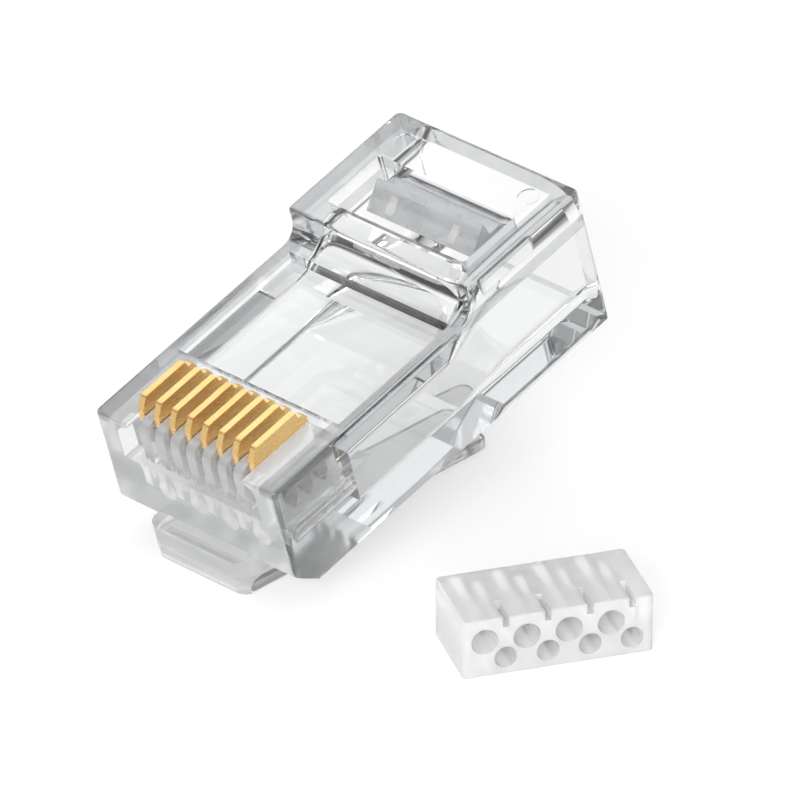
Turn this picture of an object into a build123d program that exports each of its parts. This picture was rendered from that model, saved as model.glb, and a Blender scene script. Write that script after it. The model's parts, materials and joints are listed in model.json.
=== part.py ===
from build123d import *
import os
from math import cos, radians, sin, tan

# Modular plug for twisted-pair cable, lying on its latch, with its wire guide beside it.
# Sizes are in millimetres. Each piece is drawn in the plug's own axes: X across the
# contacts, Y from the nose to the cable entry, Z from the latch side to the contact side,
# with the nose face at y = 0 and the underside at z = 0. At the end the plug is tipped
# nose down by the slope of its latch, which is how it comes to rest on a table.

# Housing, seen from the side: a low front with the contacts and a taller rear block
body_width = 11.68
body_length = 22.1
front_length = 14.1
front_height = 6.3
rear_height = 8.0
nose_rise = 1.05
nose_rise_length = 1.25
corner_radius = 0.35
edge_radius = 0.2
step_share = 0.5

# Shallow window in the top, behind the contacts
window_width = 10.4
window_front = 5.2
window_rear = 13.05
window_depth = 0.65

# Contacts, standing raised as they do before the plug is crimped
contact_count = 8
contact_pitch = 1.016
contact_thickness = 0.35
contact_front = 0.95
contact_length = 3.7
contact_stand = 0.92
contact_slant = 0.4
contact_slant_height = 0.62
contact_radius = 0.16
contact_height = 3.58
crimped_height = 6.02
prong_count = 3
prong_length = 1.05
prong_point = 0.5
prong_width = 0.62
prong_inset = 0.5
tail_length = 0.6
tail_drop = 0.5
tail_notch = 0.13
slot_clearance = 0.05

# Recess in the nose, with the ribs between the contacts left standing in it
recess_width = 8.9
recess_sill = 4.0
recess_roof = 0.25
recess_radius = 0.6
rib_setback = 0.35
rib_radius = 0.6

# Wire guide: a bar with eight staggered holes that is threaded on the wires first
guide_length = 9.2
guide_depth = 4.5
guide_height = 2.95
guide_radius = 0.25
guide_edge_radius = 0.1
upper_bore = 1.3
lower_bore = 1.1
lower_row = 0.85
row_step = 0.95
key_width = 0.32
key_depth = 0.5
key_length = 1.6

# Cavity for the cable, the wire guide and the eight wires, with ramps under half the wires
guide_clearance = 0.1
chamber_front = 5.2
chamber_floor = 1.5
chamber_radius = 0.3
throat_length = 3.0
entry_width = 9.4
entry_floor = 0.85
entry_roof = 1.0
entry_radius = 1.6
mouth_length = 0.6
mouth_flare = 0.35
channel_bore = 1.1
channel_front = 1.3
ramp_length = 2.6
ramp_width = 0.76

# Strain relief: a pocket through the roof of the rear block, and the tooth hinged in it
pocket_width = 8.8
pocket_front = 15.4
pocket_rear = 19.15
pocket_radius = 0.25
lip_width = 6.4
lip_reach = 0.35
lip_depth = 0.55
tooth_width = 6.8
tooth_ridge = 1.25
tooth_foot = 2.4
tooth_heel = 1.0
web_thickness = 0.42
web_clearance = 0.05
nub_offset = 2.0
nub_width = 0.42
nub_reach = 0.22
nub_low = 0.25
nub_high = 0.75
ejector_radius = 0.55
ejector_depth = 0.06
ejector_offset = 4.0
ejector_back = 1.6

# Latch: a springy arm that slopes down from a block ahead of the nose
latch_slope = 16.5
latch_width = 6.02
latch_thickness = 0.7
latch_shoulder = 8.4
latch_length = 17.65
tab_width = 3.25
tab_radius = 0.5
shoulder_radius = 0.3
tip_radius = 0.2
root_reach = 0.95
root_top = 0.15
root_bottom = 0.76
root_radius = 0.7
root_overlap = 0.25
root_heel = 0.42
knuckle_inset = 0.15
knuckle_clearance = 0.05

# Where the wire guide lies on the table: turned from the plug, right of and behind its nose
guide_turn = 60.3
guide_right = 15.7
guide_back = 5.9

# How close two places are when they count as the same
near = 0.01

# Sizes that follow from the ones above
step_radius = step_share * (rear_height - front_height)
contact_top = front_height + contact_stand
slot_width = contact_thickness + 2 * slot_clearance
contact_rear = contact_front + contact_length
slot_floor = crimped_height - contact_height - slot_clearance
contact_span = (contact_count - 1) * contact_pitch
chamber_width = guide_length + 2 * guide_clearance
chamber_height = guide_height + guide_clearance
chamber_rear = chamber_front + ramp_length + guide_depth + guide_clearance
throat_rear = chamber_rear + throat_length
entry_ceiling = rear_height - entry_roof
entry_height = entry_ceiling - entry_floor
web_pivot = (pocket_rear - web_clearance - web_thickness / 2, entry_ceiling)
knuckle_radius = latch_thickness / 2
slope = radians(latch_slope)


def underside(y):
    """Height of the latch's straight underside, which the plug lies on."""
    return -root_bottom - (y + root_reach) * tan(slope)


knuckle = (-knuckle_inset, underside(-knuckle_inset) + knuckle_radius / cos(slope))


def contact_x(index):
    """Place of one contact across the plug, counted from 0 at the left."""
    return index * contact_pitch - contact_span / 2


def wire_height(index):
    """Height of one wire above the guide's base: neighbours are in different rows."""
    return lower_row + row_step * ((index + 1) % 2)


def block(low, high):
    """Box between two opposite corners."""
    sizes = [b - a for a, b in zip(low, high)]
    middle = [(a + b) / 2 for a, b in zip(low, high)]
    return Pos(*middle) * Box(*sizes)


def slab(points, width, x=0):
    """Solid with a side view of (y, z) points, as wide as width about x."""
    face = Plane.YZ * make_face(Polyline(*points, close=True))
    return Pos(x, 0, 0) * extrude(face, amount=width / 2, both=True)


def crossbar(place, radius, width):
    """Round bar across the plug, with its centre at place, a (y, z) point."""
    plane = Plane(origin=(-width / 2, *place), z_dir=(1, 0, 0))
    return extrude(plane * Circle(radius), amount=width)


def standing(y, z):
    """Plane across the plug at y, with its own second axis up and its normal to the rear."""
    return Plane(origin=(0, y, z), x_dir=(-1, 0, 0), z_dir=(0, 1, 0))


def edges_at(shape, axis, y=None, z=None):
    """Edges along an axis whose middles have the given y and z."""
    found = shape.edges().filter_by(axis)
    if y is not None:
        found = [e for e in found if abs(e.center().Y - y) < near]
    if z is not None:
        found = [e for e in found if abs(e.center().Z - z) < near]
    return found


def housing_shell():
    """Outside of the housing, before anything is cut into it."""
    outline = [
        (0, nose_rise),
        (nose_rise_length, 0),
        (body_length, 0),
        (body_length, rear_height),
        (front_length, rear_height),
        (front_length, front_height),
        (0, front_height),
    ]
    shell = slab(outline, body_width)
    shell = fillet(edges_at(shell, Axis.X, front_length, front_height), step_radius)
    posts = edges_at(shell, Axis.Z, 0) + edges_at(shell, Axis.Z, body_length)
    shell = fillet(posts, corner_radius)
    rims = list(shell.faces().sort_by(Axis.Z)[-1].edges())
    step = front_length - step_radius
    for face in shell.faces():
        if abs(face.center().Z - front_height) < near:
            rims += [e for e in face.edges() if e.center().Y < step - near]
    return fillet(rims, edge_radius)


def wire_ramp(index):
    """Ramp on the chamber's floor that lifts one wire to its hole in the upper row."""
    top = chamber_floor + wire_height(index) - channel_bore / 2
    foot = chamber_front + ramp_length
    outline = [(chamber_front, chamber_floor), (foot, chamber_floor), (chamber_front, top)]
    return slab(outline, ramp_width, contact_x(index))


def cable_cavity():
    """Room behind the contacts: guide chamber, throat and cable entry, open at the rear."""
    chamber_face = RectangleRounded(chamber_width, chamber_height, chamber_radius)
    entry_face = RectangleRounded(entry_width, entry_height, entry_radius)
    mouth_face = RectangleRounded(
        entry_width + 2 * mouth_flare, entry_height + 2 * mouth_flare, entry_radius + mouth_flare
    )
    chamber_middle = chamber_floor + chamber_height / 2
    entry_middle = entry_floor + entry_height / 2
    chamber_start = standing(chamber_front, chamber_middle)
    cavity = extrude(chamber_start * chamber_face, amount=chamber_rear - chamber_front)
    for index in range(0, contact_count, 2):
        cavity -= wire_ramp(index)
    cavity += loft(
        [
            standing(chamber_rear, chamber_middle) * chamber_face,
            standing(throat_rear, entry_middle) * entry_face,
        ]
    )
    cavity += extrude(standing(throat_rear, entry_middle) * entry_face, amount=body_length - throat_rear)
    cavity += loft(
        [
            standing(body_length - mouth_length, entry_middle) * entry_face,
            standing(body_length, entry_middle) * mouth_face,
        ]
    )
    return cavity


def wire_channel(index):
    """Blind hole for one wire, ahead of the chamber."""
    start = standing(channel_front, chamber_floor + wire_height(index))
    hole = extrude(start * Circle(channel_bore / 2), amount=chamber_front - channel_front)
    return Pos(contact_x(index), 0, 0) * hole


def contact_slot(index):
    """Slot that guides one contact down to its wire, open at the top and above the sill."""
    left = contact_x(index) - slot_width / 2
    right = contact_x(index) + slot_width / 2
    back = contact_rear + slot_clearance
    lower = block((left, contact_front - slot_clearance, slot_floor), (right, back, front_height))
    upper = block((left, 0, recess_sill), (right, back, front_height))
    return lower + upper


def nose_recess():
    """Recess in the nose face, less the ribs between the contacts."""
    height = front_height - recess_roof - recess_sill
    face = Rectangle(recess_width, height)
    face = fillet(face.vertices().group_by(Axis.Y)[-1], recess_radius)
    recess = extrude(standing(0, recess_sill + height / 2) * face, amount=contact_front)
    rib_width = contact_pitch - slot_width
    for index in range(contact_count - 1):
        x = contact_x(index) + contact_pitch / 2
        recess -= block(
            (x - rib_width / 2, rib_setback, recess_sill),
            (x + rib_width / 2, contact_front, front_height),
        )
    return recess


def rib_corner():
    """What rounds the front top corner of all the ribs."""
    span = contact_span - slot_width
    centre = (rib_setback + rib_radius, front_height - rib_radius)
    corner = block((-span / 2, 0, centre[1]), (span / 2, centre[0], front_height))
    return corner - crossbar(centre, rib_radius, span)


def strain_relief_pocket():
    """Opening through the roof of the rear block, with a lip left at its front."""
    bottom = entry_floor + entry_height / 2
    opening = RectangleRounded(pocket_width, pocket_rear - pocket_front, pocket_radius)
    plane = Plane(origin=(0, (pocket_front + pocket_rear) / 2, bottom))
    pocket = extrude(plane * opening, amount=rear_height - bottom)
    lip = block(
        (-lip_width / 2, pocket_front, entry_ceiling),
        (lip_width / 2, pocket_front + lip_reach, rear_height - lip_depth),
    )
    return pocket - lip


def latch_root():
    """Block ahead of the nose that the latch grows from, with the seat of its hinge."""
    seat = knuckle_radius + knuckle_clearance
    heel = knuckle[0] - root_heel
    top = nose_rise + root_top
    outline = [
        (-root_reach, underside(-root_reach)),
        (heel, underside(heel)),
        (heel, knuckle[1]),
        (0, knuckle[1] + seat),
        (nose_rise_length, 0),
        (nose_rise_length, root_overlap),
        (root_overlap, top),
        (-root_reach, top),
    ]
    root = slab(outline, latch_width)
    root = fillet(edges_at(root, Axis.Z, -root_reach), root_radius)
    return root - crossbar(knuckle, seat, latch_width)


def housing():
    """The moulded housing: shell, cavity, slots, window, pocket and latch root in one."""
    shell = housing_shell() - cable_cavity()
    shell -= block(
        (-window_width / 2, window_front, front_height - window_depth),
        (window_width / 2, window_rear, front_height + step_radius),
    )
    shell -= strain_relief_pocket()
    shell -= nose_recess()
    shell -= rib_corner()
    for index in range(contact_count):
        shell -= contact_slot(index)
        shell -= wire_channel(index)
    for side in (-1, 1):
        mark = Cylinder(ejector_radius, 2 * ejector_depth)
        shell -= Pos(side * ejector_offset, body_length - ejector_back, rear_height) * mark
    return shell + latch_root()


def latch():
    """Arm that springs down from the root: wide at first, then a narrow finger tab."""
    length = latch_length - knuckle_radius
    wide = Pos(0, latch_shoulder / 2, 0) * Rectangle(latch_width, latch_shoulder)
    tab = Pos(0, length / 2, 0) * Rectangle(tab_width, length)
    plan = wide + tab
    shoulders = [v for v in plan.vertices() if abs(v.Y - latch_shoulder) < near]
    plan = fillet(shoulders, shoulder_radius)
    plan = fillet([v for v in plan.vertices() if v.Y > length - near], tab_radius)
    arm = extrude(plan, amount=latch_thickness / 2, both=True)
    arm += crossbar((0, 0), knuckle_radius, latch_width)
    tip = arm.faces().sort_by(Axis.Y)[-1]
    arm = fillet(tip.edges().filter_by(Axis.X), tip_radius)
    return Pos(0, *knuckle) * Rot(-latch_slope, 0, 0) * arm


def strain_relief_tooth():
    """Wedge that is pushed down on the cable, on the thin web that it hinges by."""
    base = web_pivot[1] - web_thickness / 2
    foot = (pocket_rear - tooth_foot, base)
    ridge = (pocket_rear - tooth_ridge, rear_height)
    heel = (pocket_rear - tooth_heel, web_pivot[1] + web_thickness / 2)
    tooth = slab([foot, ridge, heel, (web_pivot[0], heel[1]), (web_pivot[0], base)], tooth_width)
    tooth += crossbar(web_pivot, web_thickness / 2, tooth_width)

    # The two nubs on the front face start and end at shares of its length.
    low, high = [
        tuple(a + share * (b - a) for a, b in zip(foot, ridge)) for share in (nub_low, nub_high)
    ]
    nub = [low, (low[0] - nub_reach, low[1]), high]
    for side in (-1, 1):
        tooth += slab(nub, nub_width, side * nub_offset)
    return tooth


def contact(index):
    """Flat blade with a rounded nose, a stepped tail and three piercing prongs."""
    top = contact_top
    shoulder = top - contact_height + prong_length
    rear = contact_rear
    outline = [
        (contact_front, shoulder),
        (contact_front, top - contact_slant_height),
        (contact_front + contact_slant, top),
        (rear - tail_length, top),
        (rear - tail_length + tail_notch, top - tail_drop + tail_notch),
        (rear - 2 * tail_notch, top - tail_drop + tail_notch),
        (rear, top - tail_drop - tail_notch),
        (rear, shoulder),
    ]
    blade = slab(outline, contact_thickness)
    blade = fillet(edges_at(blade, Axis.X, contact_front + contact_slant, top), contact_radius)
    first = contact_front + prong_inset
    gap = (contact_length - 2 * prong_inset - prong_width) / (prong_count - 1)
    for number in range(prong_count):
        left = first + number * gap
        prong = [
            (left, shoulder),
            (left, shoulder - prong_length + prong_point),
            (left + prong_width / 2, shoulder - prong_length),
            (left + prong_width, shoulder - prong_length + prong_point),
            (left + prong_width, shoulder),
        ]
        blade += slab(prong, contact_thickness)
    return Pos(contact_x(index), 0, 0) * blade


def wire_guide():
    """Bar with two staggered rows of holes, and four key slots along its top front edge."""
    bar = Pos(0, 0, guide_height / 2) * Box(guide_length, guide_depth, guide_height)
    bar = fillet(bar.edges().filter_by(Axis.Z), guide_radius)
    bar = fillet(bar.faces().sort_by(Axis.Z)[-1].edges(), guide_edge_radius)
    front = -guide_depth / 2
    for index in range(contact_count):
        upper = index % 2 == 0
        start = standing(front, wire_height(index))
        bore = upper_bore if upper else lower_bore
        bar -= Pos(contact_x(index), 0, 0) * extrude(start * Circle(bore / 2), amount=guide_depth)
        if not upper:
            x = contact_x(index)
            bar -= block(
                (x - key_width / 2, front, guide_height - key_depth),
                (x + key_width / 2, front + key_length, guide_height),
            )
    return bar


# The plug lies on the straight underside of its latch.
tipped = Rot(latch_slope, 0, 0)
lowest = (tipped * Pos(0, -root_reach, underside(-root_reach))).position.Z
at_rest = Pos(0, 0, -lowest) * tipped
beside = Pos(guide_right, guide_back, 0) * Rot(0, 0, guide_turn)

pieces = {
    "housing": at_rest * housing(),
    "latch": at_rest * latch(),
    "strain_relief_tooth": at_rest * strain_relief_tooth(),
    "wire_guide": beside * wire_guide(),
}
for index in range(contact_count):
    pieces[f"contact_{index + 1}"] = at_rest * contact(index)

# The origin is on the table, under the middle of everything.
box = Compound(children=[Compound(p.wrapped) for p in pieces.values()]).bounding_box()
centred = Pos(-box.center().X, -box.center().Y, 0)

os.makedirs("parts", exist_ok=True)
for name, shape in pieces.items():
    export_step(centred * shape, f"parts/{name}.step")
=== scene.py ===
import json
import math

import bpy
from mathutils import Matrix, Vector

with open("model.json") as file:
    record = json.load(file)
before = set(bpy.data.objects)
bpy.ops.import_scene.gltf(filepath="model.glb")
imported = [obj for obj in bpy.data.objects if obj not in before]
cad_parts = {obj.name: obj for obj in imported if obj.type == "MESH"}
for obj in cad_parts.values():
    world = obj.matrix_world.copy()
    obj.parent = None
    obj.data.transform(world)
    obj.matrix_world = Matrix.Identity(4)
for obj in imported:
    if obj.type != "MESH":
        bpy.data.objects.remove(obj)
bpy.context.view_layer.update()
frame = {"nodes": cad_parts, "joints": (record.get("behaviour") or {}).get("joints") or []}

# Where the photograph was taken from, fitted to the plug's corners
AZIMUTH = 43.37
ELEVATION = 29.36
DISTANCE = 0.49849
FOCUS_PIXELS = 10625.65
IMAGE = 800.0
SENSOR = 36.0
# A point inside the plug, and how far right of and above it the view is centred
AIM = Vector((-0.007001, -0.000314, 0.007958))
AIM_RIGHT = 0.00236
AIM_UP = -0.002357

CONTACTS = [f"contact_{n}" for n in range(1, 9)]
# The contacts slide down square to the plug's underside, which gives the plug's own axes
DOWN = next(Vector(joint["axis"]) for joint in frame["joints"] if joint["name"] == "crimp_1")
UP = -DOWN.normalized()
ACROSS = Vector((1, 0, 0))
ALONG = UP.cross(ACROSS)

# Lengths on the plug, in metres. How far the contacts' front edges stand behind the nose
CONTACT_SETBACK = 0.00095
# The satin part of the nose: beyond the outer contacts, ahead of the nose and behind it
SATIN_BESIDE = 0.0019
SATIN_AHEAD = 0.0011
SATIN_BEHIND = 0.0051
# The rear block's length and its height over the front
BLOCK = 0.008
STEP = 0.0017
# The upper ends of the walls, painted grey as shade: their width, and how far they reach below
# and above the top
RIM = 0.001
RIM_BELOW = 0.0004
RIM_ABOVE = 0.0003
# How far the tooth's nubs stand out of its front face, at the least and at the most; a highlight
# is painted on them
NUB_LEAST = 0.00002
NUB_MOST = 0.001
# How far below the contacts' tops the gold begins to thin out and ends
GOLD_FULL = 0.0013
GOLD_END = 0.0014

WHITE = (1.0, 1.0, 1.0)
NEAR_WHITE = (0.985, 0.99, 0.995)
# The noise lies mostly between these
NOISE_LOW, NOISE_HIGH = 0.3, 0.7

# Polycarbonate: how it bends light, and the grey that long ways through it take on
RESIN_IOR = 1.585
RESIN_GREY = (0.5, 0.52, 0.53, 1.0)
RESIN_DENSITY = 95.0
# Fineness of its flow ripple and of its haze, and the ripple's depth in metres
FLOW_SCALE = 260.0
HAZE_SCALE = 900.0
RIPPLE_DEPTH = 0.00002

# The floor: half its side, its gap to the plug, the distances between which its painted glow
# fades and its colour darkens to painted shade, and the strength of that glow
FLOOR_HALF = 3.0
FLOOR_GAP = 0.00003
LIT_WITHIN = 0.055
DARK_BEYOND = 0.15
FLOOR_GLOW = 0.51

# The sky's grey at heights from the horizon (0) to overhead (1)
SKY = ((0.0, 0.02), (0.35, 0.05), (0.65, 0.62), (1.0, 1.0))
# Name, place, side in metres and power in watts
LIGHTS = (
    ("softbox_top", (-0.12, 0.15, 0.5), 0.45, 0.55),
    ("softbox_left", (-0.45, -0.15, 0.3), 0.3, 0.15),
    ("softbox_front", (0.25, -0.42, 0.2), 0.35, 3.5),
)


def reach(node, axis):
    """Lowest and highest place of a CAD node along an axis."""
    places = [vertex.co.dot(axis) for vertex in frame["nodes"][node].data.vertices]
    return min(places), max(places)


def new_material(name):
    """A material with its node tree and its default shader."""
    mat = bpy.data.materials.new(name)
    mat.use_nodes = True
    tree = mat.node_tree
    return mat, tree, tree.nodes["Principled BSDF"]


def noise(tree, scale, detail, stretch=(1, 1, 1)):
    """Noise in the object's own space, in metres, with its fineness along each axis."""
    coords = tree.nodes.new("ShaderNodeTexCoord")
    mapping = tree.nodes.new("ShaderNodeMapping")
    mapping.inputs["Scale"].default_value = stretch
    texture = tree.nodes.new("ShaderNodeTexNoise")
    texture.inputs["Scale"].default_value = scale
    texture.inputs["Detail"].default_value = detail
    tree.links.new(coords.outputs["Object"], mapping.inputs["Vector"])
    tree.links.new(mapping.outputs["Vector"], texture.inputs["Vector"])
    return texture.outputs["Fac"]


def ramp(tree, source, stops):
    """Colour ramp from (position, colour) stops."""
    node = tree.nodes.new("ShaderNodeValToRGB")
    elements = node.color_ramp.elements
    while len(elements) < len(stops):
        elements.new(0.5)
    for element, (place, colour) in zip(elements, stops):
        element.position = place
        element.color = (*colour, 1.0)
    tree.links.new(source, node.inputs["Fac"])
    return node.outputs["Color"]


def shades(tree, source, first, second):
    """A noise's range as colours from first to second."""
    return ramp(tree, source, [(NOISE_LOW, first), (NOISE_HIGH, second)])


def spread(tree, source, low, high, start=NOISE_LOW, end=NOISE_HIGH):
    """The source's start to end spread over low to high."""
    node = tree.nodes.new("ShaderNodeMapRange")
    node.inputs["From Min"].default_value = start
    node.inputs["From Max"].default_value = end
    node.inputs["To Min"].default_value = low
    node.inputs["To Max"].default_value = high
    tree.links.new(source, node.inputs["Value"])
    return node.outputs["Result"]


def mix(tree, share, first, second, colours=False):
    """First where share is 0 and second where it is 1; each is a socket or a constant."""
    node = tree.nodes.new("ShaderNodeMix")
    node.data_type = "RGBA" if colours else "FLOAT"
    kind = 6 if colours else 2
    tree.links.new(share, node.inputs[0])
    for index, value in ((kind, first), (kind + 1, second)):
        if isinstance(value, bpy.types.NodeSocket):
            tree.links.new(value, node.inputs[index])
        else:
            node.inputs[index].default_value = value
    return node.outputs[2 if colours else 0]


def combine(tree, operation, first, second):
    """Two values put together by a math operation."""
    node = tree.nodes.new("ShaderNodeMath")
    node.operation = operation
    tree.links.new(first, node.inputs[0])
    tree.links.new(second, node.inputs[1])
    return node.outputs["Value"]


def bump(tree, source, shader, strength, distance):
    """Relief of the given depth in metres."""
    node = tree.nodes.new("ShaderNodeBump")
    node.inputs["Strength"].default_value = strength
    node.inputs["Distance"].default_value = distance
    tree.links.new(source, node.inputs["Height"])
    tree.links.new(node.outputs["Normal"], shader.inputs["Normal"])


def place_along(tree, axis):
    """Place of the shaded point along an axis, in metres."""
    coords = tree.nodes.new("ShaderNodeTexCoord")
    dot = tree.nodes.new("ShaderNodeVectorMath")
    dot.operation = "DOT_PRODUCT"
    dot.inputs[1].default_value = axis
    tree.links.new(coords.outputs["Object"], dot.inputs[0])
    return dot.outputs["Value"]


def inside(tree, axis, low, high):
    """1 where the shaded point's place along an axis is from low to high, and 0 elsewhere."""
    node = tree.nodes.new("ShaderNodeMath")
    node.operation = "COMPARE"
    node.inputs[1].default_value = (low + high) / 2
    node.inputs[2].default_value = (high - low) / 2
    tree.links.new(place_along(tree, axis), node.inputs[0])
    return node.outputs["Value"]


def rim_shade_mask(tree):
    """1 on the upper ends of the housing's outer walls, where grey shade is painted, and 0
    elsewhere.
    """
    left, right = reach("housing", ACROSS)
    rear = reach("housing", ALONG)[1]
    top = reach("housing", UP)[1]
    between = inside(tree, ACROSS, left + RIM, right - RIM)
    ahead = inside(tree, ALONG, rear - BLOCK - RIM, rear - RIM)
    within_block = combine(tree, "MULTIPLY", between, ahead)

    rims = []
    for height, open_part in ((top, within_block), (top - STEP, between)):
        upper = inside(tree, UP, height - RIM_BELOW, height + RIM_ABOVE)
        rims.append(combine(tree, "MULTIPLY", upper, mix(tree, open_part, 1.0, 0.0)))
    return combine(tree, "MAXIMUM", *rims)


def satin_nose(tree):
    """1 in the nose around the contacts, and 0 elsewhere."""
    left, right = reach("contact_1", ACROSS)[0], reach("contact_8", ACROSS)[1]
    nose = reach("contact_1", ALONG)[0] - CONTACT_SETBACK
    beside = inside(tree, ACROSS, left - SATIN_BESIDE, right + SATIN_BESIDE)
    around = inside(tree, ALONG, nose - SATIN_AHEAD, nose + SATIN_BEHIND)
    return combine(tree, "MULTIPLY", beside, around)


def polycarbonate(name, ripple):
    """Clear resin as moulded, with faint flow ripple and absorption; its haze comes along."""
    mat, tree, shader = new_material(name)
    shader.inputs["IOR"].default_value = RESIN_IOR
    bump(tree, noise(tree, FLOW_SCALE, 2.0, (1, 0.5, 1)), shader, ripple, RIPPLE_DEPTH)
    volume = tree.nodes.new("ShaderNodeVolumeAbsorption")
    volume.inputs["Color"].default_value = RESIN_GREY
    volume.inputs["Density"].default_value = RESIN_DENSITY
    tree.links.new(volume.outputs["Volume"], tree.nodes["Material Output"].inputs["Volume"])
    return mat, tree, shader, noise(tree, HAZE_SCALE, 3.0)


def housing_plastic():
    """Clear and polished, but satin around the contacts, with painted grey shade on the walls'
    upper ends.
    """
    mat, tree, shader, haze = polycarbonate("clear_polycarbonate", 0.12)
    satin = satin_nose(tree)
    rim_shade = rim_shade_mask(tree)
    tint = shades(tree, haze, NEAR_WHITE, WHITE)
    # Painted shade: the walls' upper ends get this grey base colour
    grey = shades(tree, haze, (0.48, 0.49, 0.5), (0.6, 0.61, 0.62))
    tree.links.new(mix(tree, rim_shade, tint, grey, True), shader.inputs["Base Color"])
    polished = mix(tree, rim_shade, spread(tree, haze, 0.005, 0.03), 0.12)
    rough = spread(tree, haze, 0.14, 0.2)
    tree.links.new(mix(tree, satin, polished, rough), shader.inputs["Roughness"])
    tree.links.new(mix(tree, satin, 1.0, 0.77), shader.inputs["Transmission Weight"])
    return mat


def latch_plastic():
    """Clear, with a little white scatter."""
    mat, tree, shader, haze = polycarbonate("latch_polycarbonate", 0.12)
    tree.links.new(shades(tree, haze, NEAR_WHITE, WHITE), shader.inputs["Base Color"])
    tree.links.new(spread(tree, haze, 0.02, 0.06), shader.inputs["Roughness"])
    shader.inputs["Transmission Weight"].default_value = 0.88
    return mat


def tooth_plastic():
    """Hazy grey, with a painted highlight: a white base colour on the two raised nub shapes that
    stand out of the tooth's front face.
    """
    mat, tree, shader, haze = polycarbonate("hazy_polycarbonate", 0.1)
    faces = frame["nodes"]["strain_relief_tooth"].data.polygons
    facing = [face for face in faces if face.normal.dot(ALONG) < -0.5]
    front = max(facing, key=lambda face: face.area)
    level = front.center.dot(front.normal)
    nub_highlight = inside(tree, front.normal, level + NUB_LEAST, level + NUB_MOST)
    tint = shades(tree, haze, (0.68, 0.69, 0.7), (0.8, 0.81, 0.82))
    # Painted highlight: a white base colour on each nub
    tree.links.new(mix(tree, nub_highlight, tint, (*WHITE, 1.0), True), shader.inputs["Base Color"])
    tree.links.new(spread(tree, haze, 0.18, 0.26), shader.inputs["Roughness"])
    shader.inputs["Transmission Weight"].default_value = 0.7
    return mat


def guide_plastic():
    """Whitish, satin moulding, which blurs the wire holes seen through it."""
    mat, tree, shader = new_material("guide_polycarbonate")
    haze = noise(tree, 700.0, 3.0)
    tint = shades(tree, haze, (0.97, 0.975, 0.98), WHITE)
    tree.links.new(tint, shader.inputs["Base Color"])
    tree.links.new(spread(tree, haze, 0.12, 0.2), shader.inputs["Roughness"])
    shader.inputs["IOR"].default_value = 1.5
    shader.inputs["Transmission Weight"].default_value = 0.6
    shader.inputs["Subsurface Weight"].default_value = 0.4
    shader.inputs["Subsurface Radius"].default_value = WHITE
    shader.inputs["Subsurface Scale"].default_value = 0.0006
    bump(tree, haze, shader, 0.1, RIPPLE_DEPTH)
    return mat


def gold_plate():
    """Gold over nickel on the part that stands out, and bare nickel below it."""
    mat, tree, shader = new_material("gold_plate")
    cloud = noise(tree, 500.0, 2.0)
    lines = noise(tree, 5000.0, 2.0, (1, 0.08, 1))
    gold = shades(tree, cloud, (0.94, 0.62, 0.24), (1.0, 0.7, 0.31))
    nickel = shades(tree, cloud, (0.25, 0.246, 0.238), (0.33, 0.325, 0.315))
    top = reach("contact_1", UP)[1]
    plated = spread(tree, place_along(tree, UP), 0.0, 1.0, top - GOLD_END, top - GOLD_FULL)
    tree.links.new(mix(tree, plated, nickel, gold, True), shader.inputs["Base Color"])
    tree.links.new(spread(tree, lines, 0.25, 0.3), shader.inputs["Roughness"])
    shader.inputs["Metallic"].default_value = 0.85
    bump(tree, lines, shader, 0.015, 0.000003)
    return mat


def painted_glow_floor():
    """Floor with a painted pool of light: it glows around the plug, though it is no lamp, and
    turns to dark grey further away as painted shade.
    """
    mat, tree, shader = new_material("white_floor")
    grain = noise(tree, 40.0, 3.0)
    colour = shades(tree, grain, (0.5, 0.5, 0.5), (0.51, 0.51, 0.51))
    coords = tree.nodes.new("ShaderNodeTexCoord")
    away = tree.nodes.new("ShaderNodeVectorMath")
    away.operation = "LENGTH"
    tree.links.new(coords.outputs["Object"], away.inputs[0])
    glow_pool = spread(tree, away.outputs["Value"], 1.0, 0.0, LIT_WITHIN, DARK_BEYOND)
    # Painted shade: the base colour darkens to grey away from the plug
    dark = (0.3, 0.3, 0.3, 1.0)
    tree.links.new(mix(tree, glow_pool, dark, colour, True), shader.inputs["Base Color"])
    # Painted light: the floor glows around the plug, though it is no lamp
    tree.links.new(mix(tree, glow_pool, 0.0, FLOOR_GLOW), shader.inputs["Emission Strength"])
    shader.inputs["Emission Color"].default_value = (*WHITE, 1.0)
    shader.inputs["Roughness"].default_value = 0.9
    shader.inputs["Specular IOR Level"].default_value = 0.0
    return mat


def dress(node, mat):
    """Gives a CAD node its finish."""
    obj = frame["nodes"][node]
    obj.data.materials.clear()
    obj.data.materials.append(mat)


def area_light(name, place, size, power):
    """Soft square box at place, facing the plug."""
    data = bpy.data.lights.new(name, "AREA")
    data.shape = "SQUARE"
    data.size = size
    data.energy = power
    obj = bpy.data.objects.new(name, data)
    obj.location = place
    obj.rotation_euler = (AIM - Vector(place)).to_track_quat("-Z", "Y").to_euler()
    bpy.context.collection.objects.link(obj)


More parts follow.
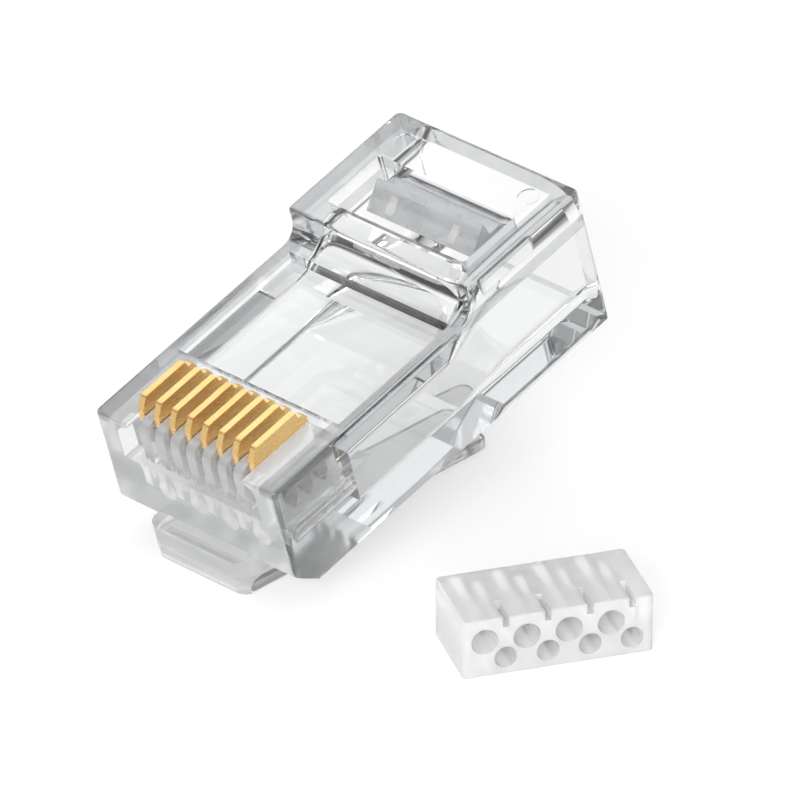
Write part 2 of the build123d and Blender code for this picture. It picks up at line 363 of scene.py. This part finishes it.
def make_camera():
    """Camera at the photograph's viewpoint, level with the horizon."""
    a, e = math.radians(AZIMUTH), math.radians(ELEVATION)
    back = Vector((math.sin(a) * math.cos(e), -math.cos(a) * math.cos(e), math.sin(e)))
    right = Vector((math.cos(a), math.sin(a), 0))
    up = back.cross(right)
    data = bpy.data.cameras.new("photo_camera")
    data.sensor_width = SENSOR
    data.lens = FOCUS_PIXELS / IMAGE * SENSOR
    data.clip_start, data.clip_end = 0.01, 20.0
    cam = bpy.data.objects.new("photo_camera", data)
    cam.rotation_mode = "QUATERNION"
    cam.location = AIM + back * DISTANCE + right * AIM_RIGHT + up * AIM_UP
    cam.rotation_quaternion = (-back).to_track_quat("-Z", "Y")
    bpy.context.collection.objects.link(cam)
    bpy.context.scene.camera = cam


def make_world():
    """Studio that is bright overhead and dark at the horizon, which draws the clear edges."""
    world = bpy.data.worlds.new("studio")
    world.use_nodes = True
    bpy.context.scene.world = world
    tree = world.node_tree
    coords = tree.nodes.new("ShaderNodeTexCoord")
    split = tree.nodes.new("ShaderNodeSeparateXYZ")
    tree.links.new(coords.outputs["Generated"], split.inputs["Vector"])
    sky = ramp(tree, split.outputs["Z"], [(place, (level,) * 3) for place, level in SKY])
    tree.links.new(sky, tree.nodes["Background"].inputs["Color"])


def make_floor():
    """Large plane a hair under the plug, so that light passes between the two."""
    mesh = bpy.data.meshes.new("floor")
    signs = ((-1, -1), (1, -1), (1, 1), (-1, 1))
    corners = [(x * FLOOR_HALF, y * FLOOR_HALF, 0) for x, y in signs]
    mesh.from_pydata(corners, [], [(0, 1, 2, 3)])
    mesh.materials.append(painted_glow_floor())
    floor = bpy.data.objects.new("floor", mesh)
    floor.location.z = -FLOOR_GAP
    bpy.context.collection.objects.link(floor)


def make_view():
    """Plain colours, as the photograph has, and enough bounces for light to leave the plastic."""
    scene = bpy.context.scene
    scene.view_settings.view_transform = "Standard"
    scene.cycles.max_bounces = 28
    scene.cycles.transmission_bounces = 24
    scene.cycles.glossy_bounces = 16


make_camera()
make_view()
make_world()
make_floor()
for light in LIGHTS:
    area_light(*light)

dress("housing", housing_plastic())
dress("latch", latch_plastic())
dress("strain_relief_tooth", tooth_plastic())
dress("wire_guide", guide_plastic())
plate = gold_plate()
for contact in CONTACTS:
    dress(contact, plate)
